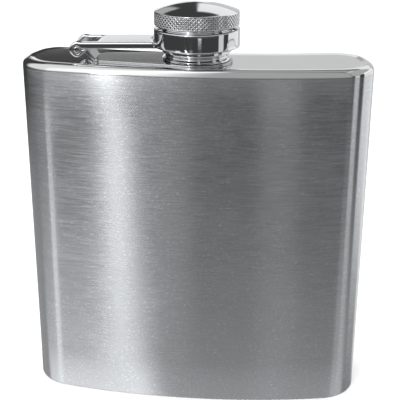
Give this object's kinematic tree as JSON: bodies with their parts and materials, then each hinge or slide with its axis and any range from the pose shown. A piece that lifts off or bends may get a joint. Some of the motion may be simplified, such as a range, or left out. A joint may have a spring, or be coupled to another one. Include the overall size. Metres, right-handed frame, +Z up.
{
  "type": "hip flask",
  "caption": "Curved stainless hip flask with a brushed body, a screw neck, and a knurled, domed screw cap held captive in the ring of a hinged arm.",
  "frame": {"origin": "on the ground, at the middle of the body's outline", "axes": "+Z up, +X towards the end away from the arm's hinge, -Y out of the convex front face"},
  "size_m": [0.095, 0.028, 0.113],
  "materials": {
    "brushed_body": "stainless steel, brushed along the body's width",
    "satin_panel": "stainless steel, fine satin with polished edges",
    "polished": "mirror-polished stainless steel",
    "seal": "matt off-white silicone"
  },
  "bodies": {
    "flask": {"body_wrap": "brushed_body", "top_panel": "satin_panel", "bottom_panel": "satin_panel", "spout": "polished", "spout_collar": "polished", "hinge_bracket": "satin_panel", "hinge_pin": "polished"},
    "arm": {"arm_strap": "polished", "arm_band": "polished"},
    "seal": {"cap_seal": "seal"},
    "cap": {"retaining_ring": "polished", "cap_sleeve": "polished", "cap_shell": "polished"}
  },
  "joints": [
    {"name": "arm_swing", "type": "hinge", "parent": "flask", "child": "arm", "pos_m": [-0.0306, -0.00198, 0.1008], "axis": [0, -1, 0], "range_deg": [0, 180]},
    {"name": "cap_lift", "type": "slide", "parent": "arm", "child": "seal", "axis": [0, 0, 1], "range_m": [0, 0.0028]},
    {"name": "cap_turn", "type": "hinge", "parent": "seal", "child": "cap", "pos_m": [0.0004, -0.00198, 0.11], "axis": [0, 0, 1], "range_deg": [0, 720]}
  ],
  "couplings": [
    {"joint": "cap_lift", "follows": "cap_turn", "m_per_rad": 0.0002228}
  ]
}
